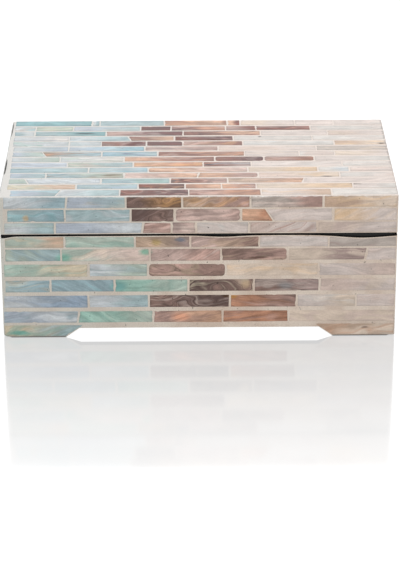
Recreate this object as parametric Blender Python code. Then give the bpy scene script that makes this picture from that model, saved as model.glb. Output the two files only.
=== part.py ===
"""A rectangular keepsake box of black boards, faced all over with strips of shell set in cream grout.

The strips lie in level courses and run from blue at the left, through brown, to cream at the right.
The body stands on bracket feet cut from its four walls, and the lid lifts off a locating lip.
Metres, +Z up. The front faces -Y and the origin lies on the ground under the middle of the box.
"""

import random

import bmesh
import bpy
from mathutils import Matrix, Vector

# The whole box, over the shell
BOX_LENGTH = 0.2600
BOX_DEPTH = 0.1500
BOX_HEIGHT = 0.1000
LID_HEIGHT = 0.0263

# Bare black line between the lid and the shell of the body
RIM_LINE = 0.0014

# Boards. The lip is the inner part of a body wall, which rises into the lid
BODY_WALL = 0.0080
LIP_WALL = 0.0030
LIP_HEIGHT = 0.0040
LIP_CLEARANCE = 0.0005
LID_TOP_BOARD = 0.0050
FLOOR_BOARD = 0.0050
FLOOR_LIFT = 0.0010

# Bracket feet: how high, how long on the ground, and how far the cut-out slants at each end
FOOT_HEIGHT = 0.0065
FRONT_FOOT = 0.0415
SIDE_FOOT = 0.0300
FOOT_SLANT = 0.0090
TOE_GAP = 0.0005

# The broken corner of the left front foot: along the front, up and along the side
CHIP_ALONG = 0.0043
CHIP_UP = 0.0024
CHIP_BACK = 0.0040

# The skin: grout bed, strips standing proud of it, and the seam that parts two solids
BED = 0.0014
PROUD = 0.0003
SEAM = 0.0003

# Grout lines: under a course of a hidden face, between two strips of a course, and bare at the end
# and above the first course of a face. The feet's course reaches up to FOOT_COURSE
COURSE_GROUT = 0.0014
JOINT = 0.0012
EDGE_GROUT = 0.0009
TOP_GROUT = 0.0003
FOOT_COURSE = 0.0094

# How far a hand-cut strip may be off at a corner, and how deep it sits in its bed
CUT_WANDER = 0.0004
STRIP_ROOT = 0.0007

# Where the hidden faces change colour, as shares of a course, and their usual strip and course
FIRST_CHANGE = (0.25, 0.40)
SECOND_CHANGE = (0.58, 0.74)
USUAL_STRIP = 0.0420
USUAL_COURSE = 0.0105
STRIP_SPREAD = 0.30

# Courses from the top down: the height with the grout line below, that line, bare grout at the start,
# then the strips of each colour from left to right, in millimetres. Heights and strips are stretched
# to fill their face
LID_FRONT_COURSES = (
    (8.4, 0.6, 2.7, (41, 38), (36, 44, 47), (48,)),
    (9.3, 0.5, 5.2, (37, 41.5), (27.5, 42, 17.5), (40, 41)),
    (8.0, 0.3, 3.0, (33, 57), (18, 15), (34, 44, 52)),
)
BODY_FRONT_COURSES = (
    (8.8, 0.8, 2.9, (39, 45.5), (35.5, 44.5), (45, 44)),
    (10.7, 1.9, 2.9, (36, 57), (45.5, 42.5), (50, 19)),
    (11.1, 2.0, 1.9, (55, 38), (50,), (60, 50)),
    (11.2, 2.3, 2.4, (29, 41, 47.5), (42, 42), (49,)),
    (11.2, 2.2, 1.0, (56, 39), (53, 43.5), (38.5, 25)),
    (9.6, 0.9, 0.8, (49, 49), (45, 43), (70,)),
)
LID_TOP_COURSES = (
    (10.4, 1.0, 0.5, (53, 4, 44), (43, 8), (37, 26, 33)),
    (10.4, 1.0, 0.5, (14, 25, 46), (20, 37, 20, 37), (50,)),
    (10.4, 1.0, 1.0, (13, 48), (52, 52), (45, 38)),
    (10.4, 1.0, 1.0, (38, 41), (30, 40), (54, 50)),
    (10.4, 1.0, 1.0, (38, 21), (30, 24, 40), (62, 35)),
    (10.4, 1.0, 2.0, (37, 51), (49,), (66, 48)),
    (10.4, 1.0, 2.0, (21, 38, 37), (58,), (36, 23, 36)),
    (10.4, 1.0, 2.0, (32, 42), (60, 32, 33), (50,)),
    (10.4, 1.0, 2.5, (37, 43), (46, 31), (60, 32)),
    (10.4, 1.0, 2.5, (52, 39), (66,), (46, 20, 28)),
    (10.4, 1.0, 3.0, (23, 51), (48, 39), (53, 35)),
    (10.4, 1.0, 3.0, (11, 48, 45), (37, 49), (60,)),
    (10.4, 1.0, 2.5, (45, 40), (30, 23, 22), (63, 28)),
    (10.4, 1.0, 5.0, (31, 40), (45, 47), (46, 43)),
)

# Joints cut on the slant, by face, course and joint: the upper end less the lower, in metres
LEANS = {
    ("lid_front", 0, 0): 0.0012,
    ("lid_front", 1, 4): -0.0058,
    ("lid_front", 2, 1): 0.0010,
    ("body_front", 1, 4): 0.0018,
    ("body_front", 3, 4): 0.0010,
    ("body_front", 5, 0): 0.0012,
    ("lid_top", 3, 1): -0.0024,
    ("lid_top", 6, 0): -0.0030,
    ("lid_top", 10, 2): 0.0015,
    ("lid_top", 11, 0): -0.0025,
    ("lid_top", 11, 4): 0.0015,
    ("lid_top", 13, 0): 0.0040,
}

# Worked out from the sizes above
SKIN = SEAM + BED + PROUD
CORE_LENGTH = BOX_LENGTH - 2 * SKIN
CORE_DEPTH = BOX_DEPTH - 2 * SKIN
LID_LINE = BOX_HEIGHT - LID_HEIGHT
BODY_SHELL_TOP = LID_LINE - RIM_LINE
BODY_RIM = LID_LINE - SEAM
LID_WALL = BODY_WALL - LIP_WALL - LIP_CLEARANCE
LID_TOP_UNDERSIDE = BOX_HEIGHT - SKIN - LID_TOP_BOARD
FLOOR_UNDERSIDE = FOOT_HEIGHT + FLOOR_LIFT
COLOURS = ("blue", "brown", "cream")


def clear_scene():
    for thing in list(bpy.data.objects):
        bpy.data.objects.remove(thing, do_unlink=True)


def finish(name, colour, roughness, coat=0.0):
    """A plain Principled material."""
    material = bpy.data.materials.new(name)
    material.use_nodes = True
    shader = material.node_tree.nodes["Principled BSDF"]
    shader.inputs["Base Color"].default_value = (*colour, 1.0)
    shader.inputs["Roughness"].default_value = roughness
    shader.inputs["Metallic"].default_value = 0.0
    shader.inputs["Coat Weight"].default_value = coat
    material.diffuse_color = (*colour, 1.0)
    return material


def facing(corner, along, up):
    """The placement whose X runs along a face, Y up it and Z out of it, from its lower left corner."""
    along, up = Vector(along), Vector(up)
    out = along.cross(up)
    turn = Matrix((along, up, out)).transposed().to_4x4()
    return Matrix.Translation(corner) @ turn


def placements(half_length, half_depth, low):
    """Placements for the four walls round a rectangle, by side."""
    return {
        "front": facing((-half_length, -half_depth, low), (1, 0, 0), (0, 0, 1)),
        "back": facing((half_length, half_depth, low), (-1, 0, 0), (0, 0, 1)),
        "left": facing((-half_length, half_depth, low), (0, -1, 0), (0, 0, 1)),
        "right": facing((half_length, -half_depth, low), (0, 1, 0), (0, 0, 1)),
    }


def add_prism(shape, outline, low, high):
    """Adds the prism of a counter-clockwise outline, from low to high along Z."""
    below = [shape.verts.new((u, v, low)) for u, v in outline]
    above = [shape.verts.new((u, v, high)) for u, v in outline]
    shape.faces.new(below[::-1])
    shape.faces.new(above)
    for i, corner in enumerate(below):
        j = (i + 1) % len(below)
        shape.faces.new((corner, below[j], above[j], above[i]))


def solid(name, outlines, low, high, placement):
    """An object of one or more prisms, placed by its location and rotation."""
    shape = bmesh.new()
    for outline in outlines:
        add_prism(shape, outline, low, high)
    mesh = bpy.data.meshes.new(name)
    shape.to_mesh(mesh)
    shape.free()
    thing = bpy.data.objects.new(name, mesh)
    thing.matrix_world = placement
    bpy.context.collection.objects.link(thing)
    return thing


def helper(thing):
    """Marks an object as a cutter or an addition that isn't a piece of its own."""
    thing.hide_render = True
    thing.display_type = "WIRE"
    return thing


def boolean(thing, operation, other):
    step = thing.modifiers.new(other.name, "BOOLEAN")
    step.operation = operation
    step.solver = "EXACT"
    step.object = other


def rectangle(left, bottom, right, top):
    return [(left, bottom), (right, bottom), (right, top), (left, top)]


def notch_cutter(name, placement, span, foot, reach):
    """The cut-out between two bracket feet, carried on below the ground and through the box."""
    outline = [
        (foot - FOOT_SLANT, -FOOT_HEIGHT),
        (span - foot + FOOT_SLANT, -FOOT_HEIGHT),
        (span - foot - FOOT_SLANT, FOOT_HEIGHT),
        (foot + FOOT_SLANT, FOOT_HEIGHT),
    ]
    return helper(solid(name, [outline], -reach, SKIN, placement))


def chip_cutter():
    """A corner block whose slanting face breaks off the outer corner of the left front foot."""
    corner = Vector((-BOX_LENGTH / 2, -BOX_DEPTH / 2, 0))
    edges = (Vector((CHIP_ALONG, 0, 0)), Vector((0, CHIP_BACK, 0)), Vector((0, 0, CHIP_UP)))
    start = corner - sum(edges, Vector())
    tips = [start + 4 * edge for edge in edges]
    shape = bmesh.new()
    base = shape.verts.new(start)
    a, b, c = (shape.verts.new(tip) for tip in tips)
    for face in ((base, b, a), (base, a, c), (base, c, b), (a, b, c)):
        shape.faces.new(face)
    mesh = bpy.data.meshes.new("worn_corner_cutter")
    shape.to_mesh(mesh)
    shape.free()
    thing = bpy.data.objects.new("worn_corner_cutter", mesh)
    bpy.context.collection.objects.link(thing)
    return helper(thing)


def body_boards(paint, notches):
    """Four walls with their feet and lips, and the floor between them."""
    lip_inset = LID_WALL + LIP_CLEARANCE
    walls = placements(CORE_LENGTH / 2 - BODY_WALL, CORE_DEPTH / 2 - BODY_WALL, 0)
    inner_length = CORE_LENGTH - 2 * BODY_WALL
    inner_depth = CORE_DEPTH - 2 * BODY_WALL
    for side, placement in walls.items():
        if side in ("front", "back"):
            left, right = -BODY_WALL, inner_length + BODY_WALL
            lip_left, lip_right = left + lip_inset, right - lip_inset
        else:
            left, right = SEAM, inner_depth - SEAM
            lip_left, lip_right = left, right
        name = f"body_{side}_board"
        board = solid(name, [rectangle(left, 0, right, BODY_RIM)], 0, BODY_WALL, placement)
        lip = rectangle(lip_left, FLOOR_UNDERSIDE, lip_right, BODY_RIM + LIP_HEIGHT)
        lip = helper(solid(f"{name}_lip", [lip], 0, LIP_WALL, placement))
        boolean(board, "UNION", lip)
        boolean(board, "DIFFERENCE", notches[side])
        board.data.materials.append(paint)
    inset = BODY_WALL + SEAM
    outline = rectangle(inset, inset, CORE_LENGTH - inset, CORE_DEPTH - inset)
    level = facing((-CORE_LENGTH / 2, -CORE_DEPTH / 2, FLOOR_UNDERSIDE), (1, 0, 0), (0, 1, 0))
    floor = solid("body_floor_board", [outline], 0, FLOOR_BOARD, level)
    floor.data.materials.append(paint)


def lid_boards(paint):
    """Four low walls under a top board."""
    walls = placements(CORE_LENGTH / 2 - LID_WALL, CORE_DEPTH / 2 - LID_WALL, LID_LINE)
    height = LID_TOP_UNDERSIDE - SEAM - LID_LINE
    inner_length = CORE_LENGTH - 2 * LID_WALL
    inner_depth = CORE_DEPTH - 2 * LID_WALL
    for side, placement in walls.items():
        if side in ("front", "back"):
            left, right = -LID_WALL, inner_length + LID_WALL
        else:
            left, right = SEAM, inner_depth - SEAM
        outline = rectangle(left, 0, right, height)
        board = solid(f"lid_{side}_board", [outline], 0, LID_WALL, placement)
        board.data.materials.append(paint)
    outline = rectangle(0, 0, CORE_LENGTH, CORE_DEPTH)
    level = facing((-CORE_LENGTH / 2, -CORE_DEPTH / 2, LID_TOP_UNDERSIDE), (1, 0, 0), (0, 1, 0))
    board = solid("lid_top_board", [outline], 0, LID_TOP_BOARD, level)
    board.data.materials.append(paint)


def plain_strips(length, rng):
    """Strip lengths for one colour of a hidden course."""
    count = max(1, round(length / USUAL_STRIP))
    return tuple(rng.uniform(1 - STRIP_SPREAD, 1 + STRIP_SPREAD) * length / count for _ in range(count))


def plain_courses(count, length, colours, rng):
    """Courses for a hidden face, in the colours given from its left to its right."""
    courses = []
    for _ in range(count):
        ends = [0.0, length]
        if len(colours) > 1:
            ends[1:1] = [length * rng.uniform(*FIRST_CHANGE), length * rng.uniform(*SECOND_CHANGE)]
        strips = [plain_strips(b - a, rng) for a, b in zip(ends, ends[1:])]
        courses.append((USUAL_COURSE, COURSE_GROUT, EDGE_GROUT, *strips))
    return courses


def in_metres(courses):
    found = []
    for *sizes, blue, brown, cream in courses:
        by_colour = [tuple(one / 1000 for one in strips) for strips in (blue, brown, cream)]
        found.append((*(size / 1000 for size in sizes), *by_colour))
    return found


class Course:
    """One course of strips: its levels, and its joints from left to right."""

    def __init__(self, face, row, strips, length, top, bottom):
        _, grout, start, *by_colour = strips
        lengths = [one for group in by_colour for one in group]
        spare = length - start - EDGE_GROUT - JOINT * (len(lengths) - 1)
        stretch = spare / sum(lengths)
        self.top = top
        self.bottom = bottom
        self.strip_bottom = bottom + grout
        self.counts = [len(group) for group in by_colour]
        self.joints = [(start - JOINT / 2, 0.0)]
        for joint, one in enumerate(lengths):
            middle = self.joints[-1][0] + one * stretch + JOINT
            self.joints.append((middle, LEANS.get((face, row, joint), 0.0)))

    def across(self, joint, level):
        """Where a joint is along the face, at a level."""
        middle, lean = self.joints[joint]
        return middle + lean * ((level - self.bottom) / (self.top - self.bottom) - 0.5)

    def change(self, colour):
        """The joint at which a colour starts."""
        return sum(self.counts[:colour])

    def outlines(self, colour, rng):
        """The outline of each strip of one colour, each corner a little off square."""
        found = []
        first = self.change(colour)
        for joint in range(first, first + self.counts[colour]):
            corners = []
            for end, level, pull in ((0, 0, 1), (1, 0, 1), (1, 1, -1), (0, 1, -1)):
                v = (self.strip_bottom, self.top)[level] + pull * rng.uniform(0, CUT_WANDER)
                inward = JOINT / 2 + rng.uniform(0, CUT_WANDER)
                corners.append((self.across(joint + end, v) + (inward, -inward)[end], v))
            found.append(corners)
        return found


def stair(courses, colour, side):
    """The line from top to bottom where a colour starts, moved aside by half a seam for the bed on
    its right (side 1) or on its left (side -1)."""
    half = side * SEAM / 2
    points = []
    for row, course in enumerate(courses):
        joint = course.change(colour)
        top = course.across(joint, course.top) + half
        bottom = course.across(joint, course.bottom) + half
        if points:
            step = half if top > points[-1][0] else -half
            points[-1] = (points[-1][0], points[-1][1] + step)
            points.append((top, points[-1][1]))
        else:
            points.append((top, course.top))
        points.append((bottom, course.bottom))
    return points


def laid_courses(face, schedule, length, bottom, top):
    """The courses of a face from the top down, with their heights stretched to fill it."""
    high = top - TOP_GROUT
    stretch = (high - bottom) / sum(height for height, *_ in schedule)
    courses = []
    for row, strips in enumerate(schedule):
        low = high - strips[0] * stretch
        courses.append(Course(face, row, strips, length, high, low))
        high = low
    return courses


def foot_strips(length, foot, inset):
    """The strip on each foot, whose inner end follows the cut-out."""
    low = TOE_GAP + TOP_GROUT
    high = FOOT_COURSE - JOINT / 2
    slope = FOOT_SLANT / FOOT_HEIGHT
    inner = [foot - inset - JOINT + slope * level for level in (low, high)]
    left = [(EDGE_GROUT, low), (inner[0], low), (inner[1], high), (EDGE_GROUT, high)]
    return left, [(length - u, v) for u, v in reversed(left)]


def skin(face, courses, length, bottom, top, placement, finishes, order, cutters=(), feet=()):
    """The shell of one face: for each colour a bed of grout, with its strips joined to it."""
    rng = random.Random(face)
    changes = [[(0, top), (0, bottom)]]
    for colour in range(1, len(order)):
        changes.append(stair(courses, colour, -1))
        changes.append(stair(courses, colour, 1))
    changes.append([(length, top), (length, bottom)])
    for line in changes[1:-1]:
        line[0] = (line[0][0], top)
        line[-1] = (line[-1][0], bottom)
    for colour, tint in enumerate(order):
        name = f"{face}_{tint}_shell"
        bed = changes[2 * colour] + changes[2 * colour + 1][::-1]
        thing = solid(name, [bed], 0, BED, placement)
        outlines = [one for course in courses for one in course.outlines(colour, rng)]
        if feet and colour == 0:
            outlines.append(feet[0])
        if feet and colour == len(order) - 1:
            outlines.append(feet[1])
        strips = solid(f"{name}_strips", outlines, BED - STRIP_ROOT, BED + PROUD, placement)
        boolean(thing, "UNION", helper(strips))
        for cutter in cutters:
            boolean(thing, "DIFFERENCE", cutter)
        thing.data.materials.append(finishes[tint])


def lid_shell(finishes):
    """The shell of the lid. The top lies inside the upper edges of the four sides."""
    inward = SKIN - SEAM
    faces = placements(BOX_LENGTH / 2 - inward, BOX_DEPTH / 2 - inward, LID_LINE)
    height = LID_HEIGHT - PROUD
    count = len(LID_FRONT_COURSES)
    for side, placement in faces.items():
        face = f"lid_{side}"
        rng = random.Random(side)
        if side in ("front", "back"):
            length, order = BOX_LENGTH, COLOURS if side == "front" else COLOURS[::-1]
            placement = placement @ Matrix.Translation((-inward, 0, 0))
        else:
            length, order = CORE_DEPTH, COLOURS[:1] if side == "left" else COLOURS[-1:]
            placement = placement @ Matrix.Translation((SEAM, 0, 0))
        if side == "front":
            schedule = in_metres(LID_FRONT_COURSES)
        else:
            schedule = plain_courses(count, length, order, rng)
        courses = laid_courses(face, schedule, length, 0, height)
        skin(face, courses, length, 0, height, placement, finishes, order)
    corner = (-CORE_LENGTH / 2, -CORE_DEPTH / 2, BOX_HEIGHT - inward)
    level = facing(corner, (1, 0, 0), (0, 1, 0))
    schedule = in_metres(LID_TOP_COURSES)
    courses = laid_courses("lid_top", schedule, CORE_LENGTH, 0, CORE_DEPTH)
    skin("lid_top", courses, CORE_LENGTH, 0, CORE_DEPTH, level, finishes, COLOURS)


def body_shell(finishes, notches, chip):
    """The shell of the body, with a strip on each bracket foot."""
    inward = SKIN - SEAM
    faces = placements(BOX_LENGTH / 2 - inward, BOX_DEPTH / 2 - inward, 0)
    count = len(BODY_FRONT_COURSES)
    for side, placement in faces.items():
        face = f"body_{side}"
        rng = random.Random(side)
        if side in ("front", "back"):
            length, order = BOX_LENGTH, COLOURS if side == "front" else COLOURS[::-1]
            foot, inset = FRONT_FOOT, 0
            placement = placement @ Matrix.Translation((-inward, 0, 0))
        else:
            length, order = CORE_DEPTH, COLOURS[:1] if side == "left" else COLOURS[-1:]
            foot, inset = SIDE_FOOT, SKIN
            placement = placement @ Matrix.Translation((SEAM, 0, 0))
        if side == "front":
            schedule = in_metres(BODY_FRONT_COURSES)
        else:
            schedule = plain_courses(count, length, order, rng)
        courses = laid_courses(face, schedule, length, FOOT_COURSE, BODY_SHELL_TOP)
        cutters = [notches[side]] + [chip] * (side in ("front", "left"))
        feet = foot_strips(length, foot, inset)
        skin(face, courses, length, TOE_GAP, BODY_SHELL_TOP, placement, finishes, order, cutters, feet)


def notch_cutters():
    """One cut-out runs under the box from front to back, and one from side to side."""
    faces = placements(BOX_LENGTH / 2, BOX_DEPTH / 2, 0)
    front = notch_cutter("front_notch_cutter", faces["front"], BOX_LENGTH, FRONT_FOOT, BOX_DEPTH + SKIN)
    side = notch_cutter("side_notch_cutter", faces["left"], BOX_DEPTH, SIDE_FOOT, BOX_LENGTH + SKIN)
    return {"front": front, "back": front, "left": side, "right": side}


def main():
    clear_scene()
    paint = finish("black_paint", (0.012, 0.011, 0.010), 0.45)
    finishes = {
        "blue": finish("blue_shell", (0.40, 0.49, 0.49), 0.32, 0.4),
        "brown": finish("brown_shell", (0.36, 0.24, 0.19), 0.32, 0.4),
        "cream": finish("cream_shell", (0.62, 0.54, 0.46), 0.32, 0.4),
    }
    notches = notch_cutters()
    body_boards(paint, notches)
    lid_boards(paint)
    lid_shell(finishes)
    body_shell(finishes, notches, chip_cutter())


main()
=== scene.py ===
"""Looks of the shell box: polished strips of shell laid in cream grout over black boards, on a white floor.

The strips are read from the solids of the frame, face by face and course by course, and given tones.
Lengths are in metres, unless a name ends in _MM or a comment says millimetres. +Z is up, and the front
faces -Y.
"""

import math
import random
import re

import bmesh
import bpy
from mathutils import Matrix, Vector, noise


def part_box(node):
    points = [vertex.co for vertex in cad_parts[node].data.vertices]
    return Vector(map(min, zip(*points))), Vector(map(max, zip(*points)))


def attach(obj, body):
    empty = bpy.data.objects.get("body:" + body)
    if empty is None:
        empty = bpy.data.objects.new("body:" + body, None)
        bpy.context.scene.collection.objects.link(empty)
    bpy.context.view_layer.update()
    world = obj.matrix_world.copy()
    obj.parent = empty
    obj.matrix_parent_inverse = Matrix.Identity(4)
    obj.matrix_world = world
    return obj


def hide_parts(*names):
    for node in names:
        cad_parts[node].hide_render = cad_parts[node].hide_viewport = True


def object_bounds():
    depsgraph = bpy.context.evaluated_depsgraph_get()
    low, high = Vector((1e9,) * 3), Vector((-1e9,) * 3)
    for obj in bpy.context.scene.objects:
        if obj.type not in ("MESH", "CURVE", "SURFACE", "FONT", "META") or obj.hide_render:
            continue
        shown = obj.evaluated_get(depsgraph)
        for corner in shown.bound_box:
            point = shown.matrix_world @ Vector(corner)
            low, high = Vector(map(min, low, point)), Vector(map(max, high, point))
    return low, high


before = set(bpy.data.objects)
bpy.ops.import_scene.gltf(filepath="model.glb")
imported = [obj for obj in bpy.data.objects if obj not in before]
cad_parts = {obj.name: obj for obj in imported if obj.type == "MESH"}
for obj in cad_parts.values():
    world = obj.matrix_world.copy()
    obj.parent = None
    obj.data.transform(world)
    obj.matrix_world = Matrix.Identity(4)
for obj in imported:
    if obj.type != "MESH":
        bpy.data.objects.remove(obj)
CAD_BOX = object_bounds()
MM = 0.001

# The skin: how far the strips stand proud of the grout, how thick the grout is, and how its outer edges
# and the body's inner corners are rounded
PROUD = 0.10 * MM
BED = 1.40 * MM
EDGE_RADIUS = 0.70 * MM
INNER_RADIUS = 0.30 * MM

# A strip from its sunk foot up to its crown: how far in from its outline, and how high. What is higher than
# SUNK tilts with the strip. The rim is dark over RIM_REACH, and the more so the farther out
STRIP_PROFILE = (
    (0.18 * MM, -0.95 * MM),
    (0.00 * MM, -0.36 * MM),
    (0.03 * MM, -0.13 * MM),
    (0.12 * MM, -0.03 * MM),
    (0.36 * MM, 0.00 * MM),
    (1.30 * MM, 0.03 * MM),
)
SUNK = -0.30 * MM
STRIP_TILT = 0.05 * MM
RIM_REACH = 0.90 * MM
RIM_POWER = 1.5

# How a strip is cut: the radii of its corners and of an end worn round, the steps that bend each, and the
# share of an edge that a corner may take up. Between corners its edges wander, a little inwards on the
# whole, and some have a nibble
CORNER_RADIUS = (0.25 * MM, 0.60 * MM)
ROUND_END_RADIUS = 2.60 * MM
CORNER_BENDS = 3
ROUND_END_BENDS = 6
CORNER_SHARE = 0.45
OUTLINE_STEP = 2.0 * MM
OUTLINE_RUN = 6.0 * MM
OUTLINE_WANDER = 0.07 * MM
OUTLINE_INWARD = 0.3
NIBBLE_CHANCE = 0.30
NIBBLE_DEPTH = (0.25 * MM, 0.60 * MM)

# The outermost courses of the lid's sides and of its top reach to these lines. A strip that ends within
# OUTERMOST of them, or of the body's upper edge, is in such a course
LID_REACH = 99.80 * MM
TOP_REACH = (-73.60 * MM, 74.30 * MM)
OUTERMOST = 3.0 * MM

# Each end of a strip is longer by WIDEN than in the solids. On the top it is longer by TOP_WIDEN, each side
# is narrower by TOP_NARROW, and the joints are spread along the course by a factor and a shift
WIDEN = 0.20 * MM
TOP_WIDEN = 0.38 * MM
TOP_NARROW = 0.30 * MM
TOP_STRETCH = 1.008
TOP_SHIFT = 1.20 * MM

# The body's bracket feet, and the corner broken off the left front one: its reach along X, along Y and up
FOOT_HEIGHT = 6.5 * MM
FRONT_FOOT = 41.5 * MM
SIDE_FOOT = 30.0 * MM
FOOT_SLANT = 9.0 * MM
TOE_GAP = 0.5 * MM
CHIP = (4.3 * MM, 4.0 * MM, 2.4 * MM)

# How the body's upper edge wanders, and dips along the front: centre along the front, half width and depth
RIM_WANDER = 0.25 * MM
RIM_RUN = 30.0 * MM
RIM_SEED = 4.1
RIM_DIPS = (
    (-128 * MM, 5 * MM, 1.2 * MM),
    (16 * MM, 14 * MM, 0.9 * MM),
    (108 * MM, 22 * MM, 2.1 * MM),
)

# The grout's surface: the step between its vertices, how far it wanders and over what run, and where its
# rounded edges have vertices, as shares of their radius
GROUT_STEP = 2.5 * MM
GROUT_WANDER = 0.05 * MM
GROUT_RUN = 7.0 * MM
EDGE_SHARES = (0.0, 0.3, 0.65, 1.0, 1.35, 1.7, 2.1)

# The body's grout: its rows of vertices, the steps round a corner, and how its lower edge wanders. Its
# edges are eased over EASE_HEIGHT: share of that height, and how far the surface is drawn in there
BODY_ROWS = 30
CORNER_STEPS = 5
APRON_WANDER = 0.15 * MM
APRON_RUN = 12.0 * MM
APRON_SEED = 8.8
EASE_HEIGHT = 0.45 * MM
EASE = ((0.0, 0.28 * MM), (0.35, 0.09 * MM), (1.0, 0.0))

# Cracks where grout has come away along the lid's left edge: middle, half length along Y, half width
# and depth
CRACKS = (
    ((-129.05 * MM, -18 * MM), 17 * MM, 0.50 * MM, 0.45 * MM),
    ((-129.15 * MM, 57 * MM), 17 * MM, 0.30 * MM, 0.20 * MM),
)
CRACK_STEEPNESS = 2

# The camera stands where the photograph was taken from. Its angles are in degrees
CAMERA_PLACE = (-0.00916, -1.51828, 0.65251)
CAMERA_YAW = 0.388
CAMERA_PITCH = 23.09
CAMERA_ROLL = -0.181
CAMERA_LENS_MM = 150.3
CAMERA_SENSOR_MM = 36.0

# The floor: how far it reaches from the box, its greys and how often they change in a metre, its glow by
# the box and nearer the camera, and where along Y the one glow runs into the other
FLOOR_REACH = 6.0
FLOOR_GREYS = (0.08, 0.10)
FLOOR_CLOUDS = 3.0
FLOOR_GLOW = 0.57
GLOW_AFAR = 0.78
GLOW_RUN = (-0.27, -0.09)

# Two patches of the floor: a dim one under the box, a painted shadow, and a bright one that shows through
# the gap under its front, painted light, with its half sides, its middle along Y, and how far from there
# its sides begin to slant in. Then the slant and the soft edge that both patches have
SHADE_GLOW = 0.06
GAP_GLOW = 1.0
GAP_LIGHT = (0.0885, 0.0165)
GAP_MIDDLE = -0.0660
GAP_SHOULDER = 0.0090
PATCH_SLANT = 1.4
PATCH_EDGE = (-0.0010, 0.0006)

# The light: the strength of the white world, and the softboxes with place, width, height, power and
# colour. All of them face AIM
WORLD_LIGHT = 0.82
AIM = (0.0, 0.0, 0.05)
WHITE = (1.0, 1.0, 1.0)
COOL_WHITE = (0.965, 0.985, 1.0)
SOFTBOXES = {
    "overhead": ((0.1, 0.2, 1.9), 1.6, 1.6, 12.8, COOL_WHITE),
    "front_left": ((-1.1, -1.5, 1.2), 1.0, 1.0, 9.5, WHITE),
    "back_wall": ((0.0, 3.0, 1.30), 1.5, 1.7, 13.0, WHITE),
}

# What each finish has otherwise than a new material, and the height and the strength of its relief
FINISHES = {
    "shell": {"Specular IOR Level": 0.22, "Coat Weight": 0.03, "Coat Roughness": 0.22},
    "grout": {"Roughness": 0.82},
    "paint": {"Specular IOR Level": 0.30, "Coat Weight": 0.04, "Coat Roughness": 0.30},
    "floor": {"Roughness": 0.09, "IOR": 1.9},
}
RELIEFS = {"shell": (0.03 * MM, 0.5), "grout": (0.05 * MM, 0.6), "paint": (0.06 * MM, 0.5)}

# Patterns of noise: how often they change in a millimetre along, across and through a strip, or along X, Y
# and Z, a shift that keeps them apart, their detail and their roughness
UNSHIFTED = (0.0, 0.0, 0.0)
PATTERNS = {
    "bend": ((0.040, 0.090, 1.0), UNSHIFTED, 1.5, 0.5),
    "clouds": ((0.045, 0.12, 1.0), UNSHIFTED, 2.0, 0.5),
    "bands": ((0.020, 0.28, 1.0), UNSHIFTED, 3.0, 0.5),
    "lines": ((0.045, 1.60, 1.0), UNSHIFTED, 3.0, 0.6),
    "veins": ((0.026, 0.40, 1.0), (0.0, 7.0, 3.0), 3.0, 0.55),
    "blots": ((0.060, 0.13, 1.0), (11.0, 5.0, 0.0), 1.5, 0.5),
    "haze": ((0.110, 0.22, 1.0), (3.0, 23.0, 5.0), 2.5, 0.5),
    "mottle": ((1.1, 1.5, 1.0), (0.0, 17.0, 0.0), 2.0, 0.5),
    "pits": ((0.55, 0.55, 1.0), (31.0, 0.0, 0.0), 1.0, 0.5),
    "mark_ripple": ((0.35, 0.80, 0.80), UNSHIFTED, 2.0, 0.5),
    "grout_clouds": ((0.05, 0.05, 0.05), UNSHIFTED, 3.0, 0.5),
    "grout_grains": ((1.8, 1.8, 1.8), UNSHIFTED, 2.0, 0.5),
    "pinholes": ((0.62, 0.62, 0.62), (9.0, 4.0, 2.0), 1.0, 0.5),
    "wood_grain": ((0.03, 0.25, 0.60), UNSHIFTED, 3.0, 0.5),
    "dust": ((0.09, 0.09, 0.09), UNSHIFTED, 4.0, 0.5),
}

# Fades: the two values between which something changes, and what it changes from and to, if that isn't from
# 0 to 1. Those from "lid_top" on are places on the box, in millimetres
FADES = {
    "tones": (1.05, 1.75),
    "veins": (0.50, 0.66),
    "blots": (0.54, 0.68),
    "flaws_and_highlight": (0.30, 1.30, 0.90, 0.0),
    "arcs": (0.0, 0.035, 0.42, 0.0),
    "mottle": (0.30, 0.70, 0.93, 1.06),
    "pits": (0.755, 0.790, 1.0, 0.35),
    "shell_roughness": (0.3, 0.7, 0.38, 0.52),
    "dust": (0.45, 0.75),
    "paint_roughness": (0.30, 0.70, 0.42, 0.60),
    "warmth": (0.40, 0.62),
    "grains": (0.30, 0.70, 0.88, 1.08),
    "pinholes": (0.74, 0.79, 1.0, 0.30),
    "bare": (0.25, 0.6),
    "lid_top": (99.0, 99.6),
    "left_edge": (-128.5, -125.0, 0.8, 0.0),
    "coolness": (-60.0, 40.0, 0.5, 0.0),
    "chalk": (-40.0, 50.0, 0.9, 0.0),
    "lid_ends": (129.2, 129.9),
    # The body darker towards the bottom: painted shade
    "low_painted_shade": (5.0, 17.0, 0.93, 1.0),
}

# Light and dark in the shell: where a pattern is darkest and lightest, and its part in the contrast
SHADING = {"bands": (0.30, 0.70, 0.85), "lines": (0.32, 0.68, 0.5), "haze": (0.34, 0.66, 0.6)}

# More of the shell's finish: how far its growth lines bend, and how much farther where they swirl, how far
# clouds and bands push the change of tone along the strip, and between which values of the clouds the rim
# goes from the first darkness to the second, which the contrast adds to
BEND_MM = 8.0
SWIRL_MM = 26.0
TONE_PUSH = 0.9
RIM_CLOUDS = (0.35, 0.65)
RIM_SHADE = (0.06, 0.14)

# More of the grout's finish: how far its clouds push the changes along X, how much of the lighter tones the
# lid's top has, which are painted light from above, how much darker the top's ends are, and the colour
# where the grout is gone. Then the two colours of the paint
CLOUD_PUSH_MM = 60.0
TOP_PAINTED_LIGHT_SHARE = 0.8
END_SHADE = 0.3
BARE_COLOUR = (0.012, 0.011, 0.010, 1.0)
PAINT_COLOURS = ((0.006, 0.006, 0.006, 1.0), (0.016, 0.015, 0.014, 1.0))

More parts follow.
